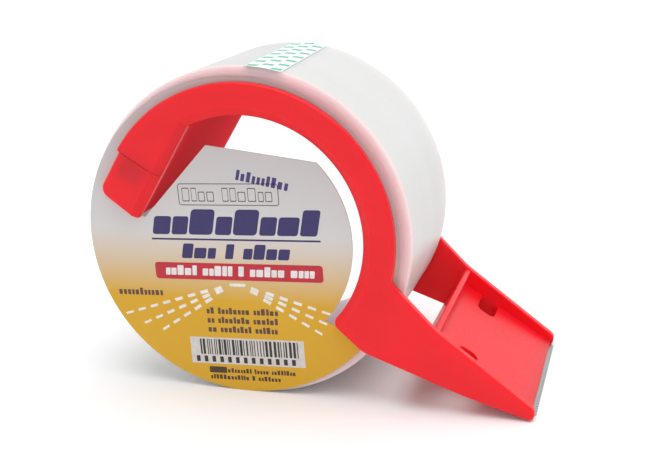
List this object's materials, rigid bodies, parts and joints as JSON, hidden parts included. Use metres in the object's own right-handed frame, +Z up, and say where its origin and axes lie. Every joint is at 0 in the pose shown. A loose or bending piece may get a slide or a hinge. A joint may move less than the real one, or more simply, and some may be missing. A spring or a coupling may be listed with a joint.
{
  "type": "tape gun dispenser",
  "caption": "Hand dispenser for packing tape: C-shaped side arms hold the roll on hub lips, and a ramp ends in a serrated blade.",
  "frame": {"origin": "centre of the bounding box's base, on the surface that the roll and the two cheek tips stand on", "axes": "+X towards the cutting blade, +Y along the roll's axis towards the back side arm, +Z up"},
  "size_m": [0.1263, 0.055, 0.0927],
  "materials": {
    "red_plastic": "satin",
    "blade_steel": "satin",
    "printed_card": "satin",
    "core_board": "matte",
    "clear_film": "gloss",
    "tab_paper": "matte"
  },
  "bodies": {
    "dispenser": {"dispenser_frame": "red_plastic", "core_bridge": "red_plastic", "cutting_blade": "blade_steel", "label_card": "printed_card"},
    "roll": {"roll_core": "core_board", "tape_windings": "clear_film", "starter_tab": "tab_paper"}
  },
  "joints": [
    {"name": "roll_spin", "type": "hinge", "parent": "dispenser", "child": "roll", "pos_m": [-0.01617, 0, 0.0463], "axis": [0, 1, 0], "continuous": true}
  ]
}
